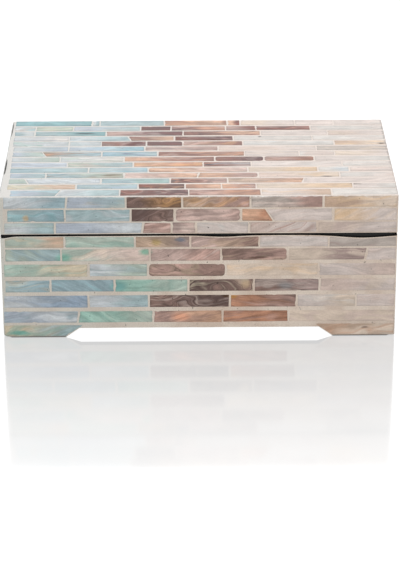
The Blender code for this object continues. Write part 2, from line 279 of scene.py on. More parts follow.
# Tones of the shell, as they look in soft white light
TONES = {
    "aqua": (150, 168, 170),
    "teal": (112, 152, 156),
    "mint": (142, 174, 162),
    "mist": (182, 186, 188),
    "lilac": (164, 172, 182),
    "denim": (142, 158, 174),
    "sky": (132, 164, 174),
    "slate": (138, 158, 164),
    "sage": (162, 173, 162),
    "sand": (188, 176, 154),
    "olive": (138, 122, 104),
    "umber": (102, 81, 76),
    "russet": (110, 54, 38),
    "plum": (86, 44, 42),
    "cedar": (130, 86, 72),
    "cocoa": (132, 107, 98),
    "rose": (168, 138, 128),
    "copper": (166, 121, 97),
    "peach": (186, 148, 124),
    "petal": (186, 161, 152),
    "mauve": (156, 136, 130),
    "ochre": (172, 132, 92),
    "tan": (182, 156, 136),
    "stone": (174, 163, 155),
    "pearl": (196, 183, 176),
    "cream": (201, 184, 168),
    "honey": (206, 178, 148),
    "blush": (194, 175, 165),
    "ice": (196, 190, 184),
}

# Zones of colour: how much light and dark differ, the tones that a strip without a word has, and the tones
# of its veins
CONTRASTS = {"blue": 0.16, "brown": 0.28, "cream": 0.12}
ZONES = {
    "blue": ("aqua", "teal", "mint", "mist", "lilac", "denim", "slate", "sage", "aqua", "mint"),
    "brown": ("umber", "rose", "copper", "cocoa", "tan", "rose", "mauve", "peach"),
    "cream": ("pearl", "cream", "honey", "blush", "ice", "cream", "pearl", "stone"),
}
VEINS = {
    "blue": ("teal", "ice", "sand", "mint", "slate"),
    "brown": ("umber", "ochre", "petal", "mauve", "copper"),
    "cream": ("honey", "blush", "ice", "tan", "pearl"),
}

# Flaws in the shell, some dark and some pale, and a painted highlight: middle and reach in millimetres, and
# tone. The last five lie along the edges of the lid: first the painted highlight, a pale line along its
# front top edge, then darker lines along its left and right ends. The ripple is how far their outlines
# wander, from one side to the other
MARK_RIPPLE_MM = (4.0, 1.6, 1.6)
FLAWS_AND_HIGHLIGHT = (
    ((-78.5, 47.6, 100.0), (8.0, 2.0, 3.0), (12, 62, 68)),
    ((-47.8, 5.6, 100.0), (4.5, 1.3, 3.0), (66, 76, 106)),
    ((85.0, -39.8, 100.0), (4.0, 1.2, 3.0), (72, 50, 34)),
    ((103.0, -54.2, 100.0), (4.5, 1.0, 3.0), (96, 76, 62)),
    ((126.3, 24.4, 100.0), (3.2, 1.6, 3.0), (50, 36, 28)),
    ((43.0, 39.4, 100.0), (1.2, 1.3, 3.0), (56, 48, 44)),
    ((7.0, -16.4, 100.0), (3.6, 1.5, 3.0), (34, 24, 24)),
    ((-35.8, -59.6, 100.0), (4.8, 1.8, 3.0), (50, 32, 30)),
    ((-17.0, -47.0, 100.0), (2.8, 2.2, 3.0), (44, 30, 28)),
    ((-59.0, -35.8, 100.0), (7.0, 1.3, 3.0), (108, 102, 82)),
    ((0.5, -6.0, 100.0), (5.5, 1.6, 3.0), (164, 108, 80)),
    ((-8.0, -16.6, 100.0), (8.0, 1.4, 3.0), (184, 134, 84)),
    ((17.4, -75.0, 29.4), (2.8, 3.0, 1.4), (78, 50, 24)),
    ((22.4, -75.0, 28.8), (3.2, 3.0, 1.6), (184, 134, 76)),
    ((123.6, -75.0, 20.8), (3.4, 3.0, 0.8), (104, 90, 80)),
    ((110.0, -75.0, 6.1), (2.4, 3.0, 0.8), (132, 114, 102)),
    ((6.0, -75.0, 78.0), (0.8, 3.0, 0.8), (50, 44, 46)),
    ((38.5, -75.0, 56.6), (7.0, 3.0, 0.9), (96, 70, 62)),
    ((30.8, -75.0, 37.6), (3.6, 3.0, 3.4), (178, 153, 126)),
    ((57.0, -75.0, 36.6), (6.0, 3.0, 2.6), (138, 133, 132)),
    ((-12.0, -75.0, 14.4), (7.0, 3.0, 3.2), (190, 138, 112)),
    ((-112.7, -75.0, 85.1), (2.4, 3.0, 2.6), (176, 156, 126)),
    ((-53.0, -75.0, 36.6), (6.0, 3.0, 4.0), (112, 160, 156)),
    ((-88.7, -75.0, 56.8), (6.0, 3.0, 3.6), (116, 166, 150)),
    ((-35.2, -75.0, 61.0), (4.5, 3.0, 2.6), (118, 160, 140)),
    ((-28.0, -75.0, 67.7), (3.6, 3.0, 2.8), (156, 134, 92)),
    ((-12.0, -75.0, 69.6), (4.0, 3.0, 1.8), (104, 108, 118)),
    ((-119.0, -75.0, 3.3), (8.0, 3.0, 2.2), (96, 150, 138)),
    # Painted highlight: a pale line along the lid's front top edge, where the rounded edge catches the
    # light
    ((0.0, -75.0, 100.0), (300.0, 1.5, 0.8), (220, 219, 215)),
    ((-130.0, -18.0, 100.0), (2.6, 19.0, 1.5), (20, 20, 22)),
    ((-130.0, 62.0, 100.0), (1.9, 18.0, 1.1), (104, 106, 108)),
    ((-130.0, -60.0, 100.0), (2.2, 18.0, 1.3), (84, 88, 90)),
    ((130.0, 30.0, 100.0), (1.7, 60.0, 1.0), (146, 138, 133)),
)

# Tones of the grout: the two of its clouds, the cool one at the left, and those of the lid's top, which are
# lighter as painted light from above
GROUT_TONES = {
    "pale": (208, 194, 180),
    "warm": (196, 178, 163),
    "cool": (184, 185, 178),
    "top_painted_light": (220, 209, 202),
    "chalk": (206, 205, 202),
}

# The grain of strips, with a word that marks it, with a word that doesn't and by chance: how strongly they
# are veined, how much the growth lines swirl, and how many degrees they climb or fall. Then the chance of
# an end worn round, the gain of the tones, and where in the endless patterns a strip may be cut from
NAMED_VEINS = (0.45, 0.80)
UNNAMED_VEINS = (0.10, 0.35)
CHANCE_VEINS = (0.10, 0.70)
PLAIN_SWIRL = (0.0, 0.3)
CHANCE_SWIRL = {"blue": (0.0, 0.4), "brown": (0.2, 1.0), "cream": (0.0, 0.4)}
MARKED_SLOPE = (16, 30)
PLAIN_SLOPE = 6
CHANCE_SLOPE = 12
ROUND_END_CHANCE = 0.06
TONE_GAIN = (0.98, 1.02)
GRAIN_PLACES_MM = (0, 900)

# Strips from left to right, courses from the top down. A word names the tone, or the tones of the two
# ends, and after a slash that of the veins. Marks: ~ swirling growth lines, ^ lines that climb to the
# right, % lines that fall, < and > an end worn round
LID_FRONT = (
    "mist-slate lilac-aqua cocoa-ochre/umber~ tan-rose/ochre^ stone-rose/blush tan-cream/honey",
    "aqua-slate/teal aqua/mist umber-cocoa/mauve~ petal/rose<> peach-copper/peach pearl/blush "
    "honey-pearl/cream^",
    "mist-aqua/sage lilac-mist/lilac rose/petal mauve-petal/blush pearl/ice blush-pearl/rose^ "
    "blush-pearl/cream",
)
BODY_FRONT = (
    "sage-tan/sand sage/mint tan-mauve/olive petal-cocoa/tan^ pearl/ice stone/mauve",
    "sage-aqua/slate% sage-blush/cream^ petal-rose/blush^ cocoa-rose/olive> cream-mauve/cream pearl/blush",
    "sage-sand/mint mist-sage/aqua rose-cocoa/olive~<> cream/honey pearl-blush/cream",
    "aqua-slate/sand slate/teal% mint-sage/mint umber-cocoa/sand~ cocoa-mauve/stone blush-pearl/cream",
    "mist-denim/lilac mist-aqua/lilac cocoa-umber/blush~ copper-cocoa/rose pearl-cream/ice pearl/blush",
    "lilac-mist/slate mint-sage/aqua% rose-peach/peach copper/rose cream/blush",
    "sand-aqua/mint^ tan-cream/peach",
)
LID_TOP = (
    "teal/slate mist-slate aqua/slate copper-peach/russet peach-russet cream-pearl pearl pearl/ice",
    "mist-aqua/blush^ sage/sand lilac-aqua plum/russet plum-copper/rose rose-russet/umber "
    "russet/rose ice/pearl",
    "slate-mist/sage aqua-teal/teal rose-plum/mauve cedar-peach/plum pearl blush-pearl/cream",
    "mist-ice/lilac mist-aqua/slate cedar-peach/tan russet-plum/rose~ ice/pearl ice/pearl",
    "mist/mint mist/aqua cedar-plum/mauve~ plum/russet rose-cedar/ochre^ ice/mist tan-cream/honey",
    "mist-lilac/aqua mist-sky/denim mauve-rose/blush blush-pearl/cream stone/cream",
    "lilac-sage/aqua olive-slate/copper sky-aqua/denim cedar-copper/rose pearl/cream ice/blush cream-pearl",
    "mist-sage mist-ice/sage peach-cedar/petal cedar-plum/mauve~<> rose-russet/copper<> pearl-ice",
    "lilac/mist sage-aqua/petal peach-copper/ochre cedar-mauve/lilac pearl/ice ice/pearl",
    "slate-aqua/teal aqua-sky/mist peach-petal/tan< cream-honey ice-mist pearl/blush",
    "lilac-aqua/slate slate-sage/olive petal-peach/blush peach-rose/cedar> blush-cream/honey "
    "ice-pearl/blush",
    "sage/aqua mist/lilac slate-aqua/mint russet-rose/copper~ tan-peach/petal pearl",
    "sand-tan/sage% aqua/denim russet-plum/ochre~ copper-peach/copper peach-rose/copper "
    "cream-honey/tan pearl-ice",
    "lilac-aqua/sky mist-aqua/slate^ russet-plum/rose~ rose-copper/cedar pearl-tan/honey ice/pearl",
)

# The faces whose strips have words, and all the faces
LISTED = {"lid_front": LID_FRONT, "body_front": BODY_FRONT, "lid_top": LID_TOP}
SIDES = ("front", "back", "left", "right")
FACES = ("lid_top", *(f"lid_{side}" for side in SIDES), *(f"body_{side}" for side in SIDES))

# What the vertices of strips carry for their finish
LAYERS = {
    "float": ("along", "rim", "swirl", "veined"),
    "float_color": ("tone_left", "tone_right", "tone_vein"),
    "float_vector": ("grain",),
}

# Half the grout's length and depth, and its height, then the same of the core that its rounded edges are
# drawn about, and the heights of the lid's lower edge and the body's upper one
GROUT_HALF = Vector((CAD_BOX[1][0] - PROUD, CAD_BOX[1][1] - PROUD, CAD_BOX[1][2] - PROUD))
CORE = GROUT_HALF - Vector((EDGE_RADIUS,) * 3)
LID_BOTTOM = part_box("lid_front_blue_shell")[0].z
BODY_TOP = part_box("body_front_blue_shell")[1].z


def linear(colour):
    """A colour given as 0 to 255 on a screen, as shares of linear light, by the sRGB curve."""
    shares = (c / 255 for c in colour)
    return tuple(c / 12.92 if c <= 0.04045 else ((c + 0.055) / 1.055) ** 2.4 for c in shares)


def grey(level):
    return (level, level, level, 1.0)


def wander(*where):
    """A smooth number between -1 and 1, which changes over about one unit of where."""
    return noise.noise(Vector(where))


class Graph:
    """A material's nodes. An input is a number, a colour or another node's output."""

    def __init__(self, name, finish):
        self.material = bpy.data.materials.new(name)
        self.material.use_nodes = True
        self.tree = self.material.node_tree
        self.shader = self.tree.nodes["Principled BSDF"]
        for socket, value in FINISHES[finish].items():
            self.finish(socket, value)

    def finish(self, socket, value):
        self.feed(self.shader.inputs[socket], value)

    def feed(self, socket, value):
        if isinstance(value, bpy.types.NodeSocket):
            self.tree.links.new(value, socket)
        else:
            socket.default_value = value

    def add(self, kind, inputs, output=0, **settings):
        node = self.tree.nodes.new("ShaderNode" + kind)
        for name, value in settings.items():
            setattr(node, name, value)
        for key, value in inputs.items():
            self.feed(node.inputs[key], value)
        return node.outputs[output]

    def tone(self, colour):
        return (*linear(colour), 1.0)

    def attribute(self, name, output="Fac"):
        return self.add("Attribute", {}, output, attribute_name=name)

    def place(self):
        """Where a point lies on its piece, in metres."""
        return self.add("TexCoord", {}, "Object")

    def place_mm(self):
        return self.stretch(self.place(), (1 / MM,) * 3)

    def axes(self, vector, names):
        return [self.add("SeparateXYZ", {0: vector}, name) for name in names]

    def math(self, operation, a, b=0.0, c=0.0):
        return self.add("Math", {0: a, 1: b, 2: c}, operation=operation)

    def stretch(self, vector, by, shift=(0.0, 0.0, 0.0)):
        return self.add("VectorMath", {0: vector, 1: by, 2: shift}, operation="MULTIPLY_ADD")

    def noise(self, vector, detail, roughness, output="Fac"):
        inputs = {"Vector": vector, "Scale": 1.0, "Detail": detail, "Roughness": roughness}
        return self.add("TexNoise", inputs, output)

    def pattern(self, name, vector, output="Fac"):
        """The named noise over a place in millimetres."""
        by, shift, detail, roughness = PATTERNS[name]
        return self.noise(self.stretch(vector, by, shift), detail, roughness, output)

    def ramp(self, value, low, high, first=0.0, last=1.0):
        inputs = {"Value": value, "From Min": low, "From Max": high, "To Min": first, "To Max": last}
        return self.add("MapRange", inputs, interpolation_type="SMOOTHSTEP")

    def fade(self, name, value):
        return self.ramp(value, *FADES[name])

    def blend(self, share, a, b):
        return self.add("Mix", {0: share, 6: a, 7: b}, 2, data_type="RGBA")

    def blend_number(self, share, a, b):
        return self.add("Mix", {0: share, 2: a, 3: b}, 0, data_type="FLOAT")

    def shade(self, colour, by):
        return self.add("VectorMath", {0: colour, "Scale": by}, operation="SCALE")

    def bump(self, height, finish):
        distance, strength = RELIEFS[finish]
        inputs = {"Height": height, "Distance": distance, "Strength": strength}
        self.finish("Normal", self.add("Bump", inputs))


def with_flaws_and_highlight(g, colour):
    """The shell's colour with its flaws and a painted highlight, whose edges are soft and ripple."""
    place = g.place_mm()
    ripple = g.pattern("mark_ripple", place, "Color")
    ripple = g.stretch(ripple, MARK_RIPPLE_MM, [-r / 2 for r in MARK_RIPPLE_MM])
    place = g.add("VectorMath", {0: place, 1: ripple}, operation="ADD")
    for centre, reach, tone in FLAWS_AND_HIGHLIGHT:
        away = g.stretch(place, [1 / r for r in reach], [-c / r for c, r in zip(centre, reach)])
        near = g.fade("flaws_and_highlight", g.add("VectorMath", {0: away}, "Value", operation="LENGTH"))
        colour = g.blend(near, colour, g.tone(tone))
    return colour


def nacre(name, contrast):
    """Polished shell. One tone runs into another, crossed by veins, flaws, a painted highlight and fine
    growth lines.
    """
    g = Graph(name, "shell")
    grain = g.attribute("grain", "Vector")
    swirl = g.attribute("swirl")
    bend = g.stretch(g.pattern("bend", grain, "Color"), (1.0, 1.0, 0.0), (-0.5, -0.5, 0.0))
    reach = g.math("MULTIPLY_ADD", swirl, SWIRL_MM, BEND_MM)
    flow = g.add("VectorMath", {0: g.shade(bend, reach), 1: grain}, operation="ADD")
    clouds = g.pattern("clouds", grain)
    flowing = {kind: g.pattern(kind, flow) for kind in ("bands", "lines", "haze", "veins", "blots")}
    share = g.math("MULTIPLY_ADD", clouds, TONE_PUSH, g.attribute("along"))
    share = g.fade("tones", g.math("MULTIPLY_ADD", flowing["bands"], TONE_PUSH, share))
    colour = g.blend(share, g.attribute("tone_left", "Color"), g.attribute("tone_right", "Color"))
    vein = g.math("MAXIMUM", g.fade("veins", flowing["veins"]), g.fade("blots", flowing["blots"]))
    vein = g.math("MULTIPLY", vein, g.attribute("veined"))
    colour = g.blend(vein, colour, g.attribute("tone_vein", "Color"))
    # Flaws, and the painted highlight along the lid's front top edge
    colour = with_flaws_and_highlight(g, colour)
    for pattern, (low, high, part) in SHADING.items():
        light = g.ramp(flowing[pattern], low, high, 1 - part * contrast, 1 + part * contrast)
        colour = g.shade(colour, light)
    ridge = g.math("ABSOLUTE", g.math("SUBTRACT", flowing["bands"], 0.5))
    arcs = g.math("MULTIPLY", g.fade("arcs", ridge), swirl)
    colour = g.shade(colour, g.math("SUBTRACT", 1.0, arcs))
    # The strips darker towards their rims, by an amount that the clouds vary
    rim_darkness = g.ramp(clouds, *RIM_CLOUDS, RIM_SHADE[0], RIM_SHADE[1] + contrast)
    rim = g.math("MULTIPLY", g.attribute("rim"), rim_darkness)
    colour = g.shade(colour, g.math("SUBTRACT", 1.0, rim))
    for pattern in ("mottle", "pits"):
        colour = g.shade(colour, g.fade(pattern, g.pattern(pattern, grain)))
    g.finish("Base Color", colour)
    g.finish("Roughness", g.fade("shell_roughness", flowing["lines"]))
    g.bump(flowing["lines"], "shell")
    return g.material


def grout_finish():
    """Cream filler, rubbed flat, with fine grains, stains and pinholes. Black shows where it is gone."""
    g = Graph("grout", "grout")
    place = g.place_mm()
    x, z = g.axes(place, "XZ")
    clouds = g.pattern("grout_clouds", place)
    grains = g.pattern("grout_grains", place)
    tones = {name: g.tone(colour) for name, colour in GROUT_TONES.items()}
    clouded_x = g.math("MULTIPLY_ADD", clouds, CLOUD_PUSH_MM, x)
    colour = g.blend(g.fade("warmth", clouds), tones["pale"], tones["warm"])
    cooled = g.math("MAXIMUM", g.fade("left_edge", x), g.fade("coolness", clouded_x))
    colour = g.blend(cooled, colour, tones["cool"])
    # Painted light from above: the lid's top takes lighter tones, cooler at the left
    on_top = g.fade("lid_top", z)
    top_painted_light = g.blend(g.fade("chalk", clouded_x), tones["top_painted_light"], tones["chalk"])
    colour = g.blend(g.math("MULTIPLY", on_top, TOP_PAINTED_LIGHT_SHARE), colour, top_painted_light)
    ends = g.math("MULTIPLY", g.fade("lid_ends", g.math("ABSOLUTE", x)), on_top)
    colour = g.shade(colour, g.math("MULTIPLY_ADD", ends, -END_SHADE, 1.0))
    # Painted shade: the grout darker towards the bottom of the body
    colour = g.shade(colour, g.fade("low_painted_shade", z))
    colour = g.shade(colour, g.fade("grains", grains))
    colour = g.shade(colour, g.fade("pinholes", g.pattern("pinholes", place)))
    colour = g.blend(g.fade("bare", g.attribute("bare")), colour, BARE_COLOUR)
    g.finish("Base Color", colour)
    g.bump(grains, "grout")
    return g.material


def black_paint():
    """Satin black paint over wood: the grain shows faintly in its gloss, and dust in its colour."""
    g = Graph("black_paint", "paint")
    place = g.place_mm()
    grain = g.pattern("wood_grain", place)
    g.finish("Base Color", g.blend(g.fade("dust", g.pattern("dust", place)), *PAINT_COLOURS))
    g.finish("Roughness", g.fade("paint_roughness", grain))
    g.bump(grain, "paint")
    return g.material


class Face:
    """One face of the box. u runs along it, v up it, and its strips lie at reach from the middle."""

    AXES = {
        "front": ((1, 0, 0), (0, 0, 1)),
        "back": ((-1, 0, 0), (0, 0, 1)),
        "left": ((0, -1, 0), (0, 0, 1)),
        "right": ((0, 1, 0), (0, 0, 1)),
        "top": ((1, 0, 0), (0, 1, 0)),
    }

    def __init__(self, name):
        self.name = name
        self.part, self.side = name.split("_")
        self.along, self.up = (Vector(axis) for axis in self.AXES[self.side])
        self.out = self.along.cross(self.up)
        self.nodes = shell_nodes(name)
        self.reach = max(corner.dot(self.out) for node in self.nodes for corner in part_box(node))

    def at(self, u, v, height):
        return self.along * u + self.up * v + self.out * (self.reach + height)

    def spread(self, u):
        """The top's strips reach on over the edges of its sides."""
        return u * TOP_STRETCH + TOP_SHIFT if self.side == "top" else u

    def flat(self, point):
        return point.dot(self.along), point.dot(self.up)

    def outlines(self, node):
        """The top of each strip of a solid, as its corners in order, counter-clockwise from outside."""
        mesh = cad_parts[node].data
        edges = set()
        for triangle in mesh.polygons:
            corners = [mesh.vertices[i].co for i in triangle.vertices]
            if min(c.dot(self.out) for c in corners) > self.reach - PROUD / 10:
                keys = [tuple(round(value, 6) for value in self.flat(c)) for c in corners]
                for a, b in zip(keys, keys[1:] + keys[:1]):
                    if (b, a) in edges:
                        edges.remove((b, a))
                    else:
                        edges.add((a, b))
        after = dict(edges)
        found = []
        while after:
            loop = [min(after)]
            while loop[-1] in after:
                loop.append(after.pop(loop[-1]))
            found.append(corners_only(loop[:-1]))
        return found


def corners_only(loop):
    """A closed outline without the points that lie on a straight run."""
    straight = 0.9999
    kept = []
    for i, here in enumerate(loop):
        before, after = loop[i - 1], loop[(i + 1) % len(loop)]
        a = Vector((here[0] - before[0], here[1] - before[1])).normalized()
        b = Vector((after[0] - here[0], after[1] - here[1])).normalized()
        if a.dot(b) < straight:
            kept.append(Vector(here))
    return kept


def core_point(point):
    """The point of the core that is nearest to a point. The core reaches down without end."""
    return Vector((
        max(-CORE.x, min(CORE.x, point.x)),
        max(-CORE.y, min(CORE.y, point.y)),
        min(CORE.z, point.z),
    ))


def eased(point):
    """A point on or near the square box, moved to the box with rounded edges."""
    near = core_point(point)
    away = point - near
    return near + away.normalized() * max(abs(a) for a in away)


def rim_dip(side, u):
    """How far the body's shell falls short of its level upper edge."""
    dip = RIM_WANDER * (0.5 + 0.5 * wander(u / RIM_RUN, len(side), RIM_SEED))
    if side == "front":
        for centre, half, depth in RIM_DIPS:
            dip += depth * math.exp(-(((u - centre) / half) ** 2))
    return dip


class Strip:
    """One strip of shell: its outline on a face, its tones and how it was cut."""

    def __init__(self, face, node, corners):
        self.face = face
        self.node = node
        self.zone = node.split("_")[2]
        middle = sum(corners, Vector((0, 0))) / len(corners)
        wider, narrower = (TOP_WIDEN, TOP_NARROW) if face.side == "top" else (WIDEN, 0.0)
        self.corners = []
        for corner in corners:
            u = face.spread(corner.x) + math.copysign(wider, corner.x - middle.x)
            v = corner.y - math.copysign(narrower, corner.y - middle.y)
            self.corners.append(Vector((u, v)))
        us, vs = [c.x for c in self.corners], [c.y for c in self.corners]
        self.middle = Vector(((min(us) + max(us)) / 2, (min(vs) + max(vs)) / 2))
        self.half = Vector(((max(us) - min(us)) / 2, (max(vs) - min(vs)) / 2))

    def choose(self, rng, word):
        """Takes the tones, the grain and the ends from a word, or at random from those of its zone."""
        if word:
            names, marks = re.match(r"([\w/-]+)(.*)", word).groups()
            ends, _, vein = names.partition("/")
            left, _, right = ends.partition("-")
            self.left, self.right = left, right or left
            self.vein = vein or rng.choice(VEINS[self.zone])
            self.veined = rng.uniform(*(NAMED_VEINS if vein else UNNAMED_VEINS))
            self.swirl = 1.0 if "~" in marks else rng.uniform(*PLAIN_SWIRL)
            climbs = ("^" in marks) - ("%" in marks)
            self.slope = climbs * rng.uniform(*MARKED_SLOPE) or rng.gauss(0, PLAIN_SLOPE)
            self.rounded = ["<" in marks, ">" in marks]
        else:
            self.left, self.right = (rng.choice(ZONES[self.zone]) for _ in range(2))
            self.vein = rng.choice(VEINS[self.zone])
            self.veined = rng.uniform(*CHANCE_VEINS)
            self.swirl = rng.uniform(*CHANCE_SWIRL[self.zone])
            self.slope = rng.gauss(0, CHANCE_SLOPE)
            self.rounded = [rng.random() < ROUND_END_CHANCE for _ in range(2)]

    def outline(self, rng):
        """The cut edge: round corners, joined by edges that wander a little and are nibbled in places."""
        points = []
        count = len(self.corners)
        seed = rng.uniform(0, 100)
        for i, here in enumerate(self.corners):
            before, after = self.corners[i - 1], self.corners[(i + 1) % count]
            worn = self.rounded[here.x > self.middle.x]
            radius = ROUND_END_RADIUS if worn else rng.uniform(*CORNER_RADIUS)
            nearest = min((before - here).length, (after - here).length)
            radius = min(radius, CORNER_SHARE * nearest)
            start = here + (before - here).normalized() * radius
            stop = here + (after - here).normalized() * radius
            bends = ROUND_END_BENDS if worn else CORNER_BENDS
            for step in range(bends + 1):
                t = step / bends
                points.append(start * (1 - t) ** 2 + here * 2 * t * (1 - t) + stop * t * t)
            run = (after - here).length - 2 * radius
            pieces = max(1, round(run / OUTLINE_STEP))
            heading = (after - here).normalized()
            inward = Vector((-heading.y, heading.x))
            nibble = rng.randrange(pieces) if rng.random() < NIBBLE_CHANCE else -1
            for step in range(1, pieces):
                point = stop + heading * run * step / pieces
                sway = wander(point.x / OUTLINE_RUN, point.y / OUTLINE_RUN, seed)
                shift = OUTLINE_WANDER * (sway + OUTLINE_INWARD)
                if step == nibble:
                    shift += rng.uniform(*NIBBLE_DEPTH)
                points.append(point + inward * shift)
        return points

    def settle(self, point):
        """Stretches an outermost course up to the lid's edge, or down with the dips of the body's rim."""
        low, high = self.middle.y - self.half.y, self.middle.y + self.half.y
        share = max(0.0, min(1.0, (point.y - low) / (high - low)))
        rise = 0.0
        if self.face.side == "top":
            if low < TOP_REACH[0] + OUTERMOST:
                rise = (1 - share) * (TOP_REACH[0] - low)
            elif high > TOP_REACH[1] - OUTERMOST:
                rise = share * (TOP_REACH[1] - high)
        elif self.face.part == "lid" and high > LID_REACH - OUTERMOST:
            rise = share * (LID_REACH - high)
        elif self.face.part == "body" and high > BODY_TOP - OUTERMOST:
            rise = -share * rim_dip(self.face.side, point.x)
        return Vector((point.x, point.y + rise))

    def build(self, shape, layers, rng):
        """Adds the strip to its node's shape: rings from its foot to its crown, closed below and above."""
        tilt = Vector((rng.uniform(-1, 1), rng.uniform(-1, 1))) * STRIP_TILT
        gain = rng.uniform(*TONE_GAIN)
        turn = Matrix.Rotation(math.radians(-self.slope), 2)
        grain_place = Vector((rng.uniform(*GRAIN_PLACES_MM), rng.uniform(*GRAIN_PLACES_MM)))
        tones = [linear([gain * c for c in TONES[t]]) for t in (self.left, self.right, self.vein)]
        outline = self.outline(rng)
        rings = []
        for inset, height in STRIP_PROFILE:
            ring = []
            for point in outline:
                away = point - self.middle
                share = Vector((away.x / self.half.x, away.y / self.half.y))
                pulled = Vector((point.x - inset * share.x, point.y - inset * share.y))
                lift = height + tilt.dot(share) if height > SUNK else height
                vertex = shape.verts.new(eased(self.face.at(*self.settle(pulled), lift)))
                grain = (turn @ (pulled - self.middle)) / MM + grain_place
                vertex[layers["grain"]] = (*grain, grain_place.x)
                vertex[layers["along"]] = 0.5 + 0.5 * share.x
                vertex[layers["rim"]] = max(0.0, 1 - inset / RIM_REACH) ** RIM_POWER
                vertex[layers["swirl"]] = self.swirl
                vertex[layers["veined"]] = self.veined
                for name, tone in zip(LAYERS["float_color"], tones):
                    vertex[layers[name]] = (*tone, 1.0)
                ring.append(vertex)
            rings.append(ring)
        shape.faces.new(rings[0][::-1]).smooth = False
        skin_rows(shape, rings)
        shape.faces.new(rings[-1]).smooth = True


def in_courses(strips):
    """Strips sorted into courses, from the top down and from left to right."""
    courses = []
    for strip in sorted(strips, key=lambda s: -s.middle.y):
        if not courses or courses[-1][0].middle.y - strip.middle.y > strip.half.y:
            courses.append([])
        courses[-1].append(strip)
    return [sorted(course, key=lambda s: s.middle.x) for course in courses]


def object_from(name, shape, materials, replaced):
    """A piece from a shape: it rides the box, stands for its nodes and takes a slot's finish."""
    mesh = bpy.data.meshes.new(name)
    shape.to_mesh(mesh)
    shape.free()
    for material in materials:
        mesh.materials.append(material)
    piece = bpy.data.objects.new(name, mesh)
    bpy.context.scene.collection.objects.link(piece)
    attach(piece, "root")
    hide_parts(*replaced)


def strip_layers(shape):
    """The layers of a shape that holds strips, made where they aren't there yet."""
    kinds = [(getattr(shape.verts.layers, kind), names) for kind, names in LAYERS.items()]
    for layers, names in kinds:
        for name in names:
            if name not in layers:
                layers.new(name)
    return {name: layers[name] for layers, names in kinds for name in names}


def lay_strips(face, finishes):
    """The strips of a face, as one piece for each colour."""
    strips = [Strip(face, node, corners) for node in face.nodes for corners in face.outlines(node)]
    listed = LISTED.get(face.name, ())
    shapes = {node: bmesh.new() for node in face.nodes}
    for row, course in enumerate(in_courses(strips)):
        words = listed[row].split() if row < len(listed) else []
        if len(words) != len(course):
            words = [None] * len(course)
        for place, (strip, word) in enumerate(zip(course, words)):
            rng = random.Random(f"{face.name} {row} {place}")
            strip.choose(rng, word)
            shape = shapes[strip.node]
            strip.build(shape, strip_layers(shape), rng)
    for node, shape in shapes.items():
        colour = node.split("_")[2]
        name = f"{face.name}_{colour}_strips"
        object_from(name, shape, [finishes[colour]], [node])


def steps_between(low, high):
    """Numbers from low to high, about a step of the grout apart, and finer at the rounded ends."""
    ends = [EDGE_RADIUS * share for share in EDGE_SHARES]
    run = high - low - 2 * ends[-1]
    count = max(1, round(run / GROUT_STEP))
    middle = [low + ends[-1] + run * i / count for i in range(1, count)]
    return [low + e for e in ends] + middle + [high - e for e in reversed(ends)]


def crack_at(point):
    """How far grout is cracked away at a point of the lid's top, from 0 to 1, and how deep."""
    if point.z < CORE.z:
        return 0.0, 0.0
    for (x, y), half_length, half_width, depth in CRACKS:
        along = (point.y - y) / half_length
        across = (point.x - x) / half_width
        share = max(0.0, min(1.0, CRACK_STEEPNESS * (1 - along * along - across * across)))
        if share:
            return share, depth * share
    return 0.0, 0.0


def grout_point(shape, bare, point):
    """A vertex of the lid's grout, a little uneven, and sunk where the grout is cracked away."""
    place = eased(point)
    outward = (place - core_point(place)).normalized()
    share, depth = crack_at(place)
    shift = GROUT_WANDER * wander(*(place / GROUT_RUN)) - depth
    vertex = shape.verts.new(place + outward * shift)
    vertex[bare] = share
    return vertex


def skin_rows(shape, rows, closed=True):
    """Joins rows of vertices into a smooth skin, which is a band where the rows are closed."""
    for lower, upper in zip(rows, rows[1:]):
        for i in range(len(lower) - (not closed)):
            j = (i + 1) % len(lower)
            shape.faces.new((lower[i], lower[j], upper[j], upper[i])).smooth = True


def around(grid):
    """The outermost items of a grid, in order round it from the first one."""
    left, right = [row[0] for row in grid], [row[-1] for row in grid]
    return grid[0][:-1] + right[:-1] + grid[-1][:0:-1] + left[:0:-1]


def shell_nodes(part):
    return [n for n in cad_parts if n.startswith(part) and n.endswith("_shell")]


def lid_grout(material):
    """The lid's grout: a hollow cap with rounded edges."""
    shape = bmesh.new()
    bare = shape.verts.layers.float.new("bare")
    xs = steps_between(-GROUT_HALF.x, GROUT_HALF.x)
    ys = steps_between(-GROUT_HALF.y, GROUT_HALF.y)
    zs = steps_between(LID_BOTTOM, GROUT_HALF.z)[:-1]
    top = [[grout_point(shape, bare, Vector((x, y, GROUT_HALF.z))) for x in xs] for y in ys]
    skin_rows(shape, top, closed=False)
    plan = around([[(x, y) for x in xs] for y in ys])
    rows = [[grout_point(shape, bare, Vector((x, y, z))) for x, y in plan] for z in zs]
    skin_rows(shape, rows + [around(top)])
    shrink = Vector(((GROUT_HALF.x - BED) / GROUT_HALF.x, (GROUT_HALF.y - BED) / GROUT_HALF.y))
    inner = [
        [shape.verts.new((x * shrink.x, y * shrink.y, z)) for x, y in plan]
        for z in (GROUT_HALF.z - BED, LID_BOTTOM)
    ]
    shape.faces.new(inner[0][::-1])
    skin_rows(shape, inner + [rows[0]])
    object_from("lid_grout", shape, [material], shell_nodes("lid"))


def foot_length(side):
    return FRONT_FOOT if side in ("front", "back") else SIDE_FOOT


def foot_line(side, u):
    """The lower edge of the body's shell: the feet, the slants between, and the apron."""
    half = GROUT_HALF.x if side in ("front", "back") else GROUT_HALF.y
    inward = half + PROUD - abs(u) - foot_length(side)
    return max(TOE_GAP, min(FOOT_HEIGHT, inward * FOOT_HEIGHT / FOOT_SLANT))


def chip_line(x, y):
    """How high the broken corner of the left front foot reaches."""
    along = (x + CAD_BOX[1][0]) / CHIP[0]
    back = (y + CAD_BOX[1][1]) / CHIP[1]
    return CHIP[2] * (1 - along - back)


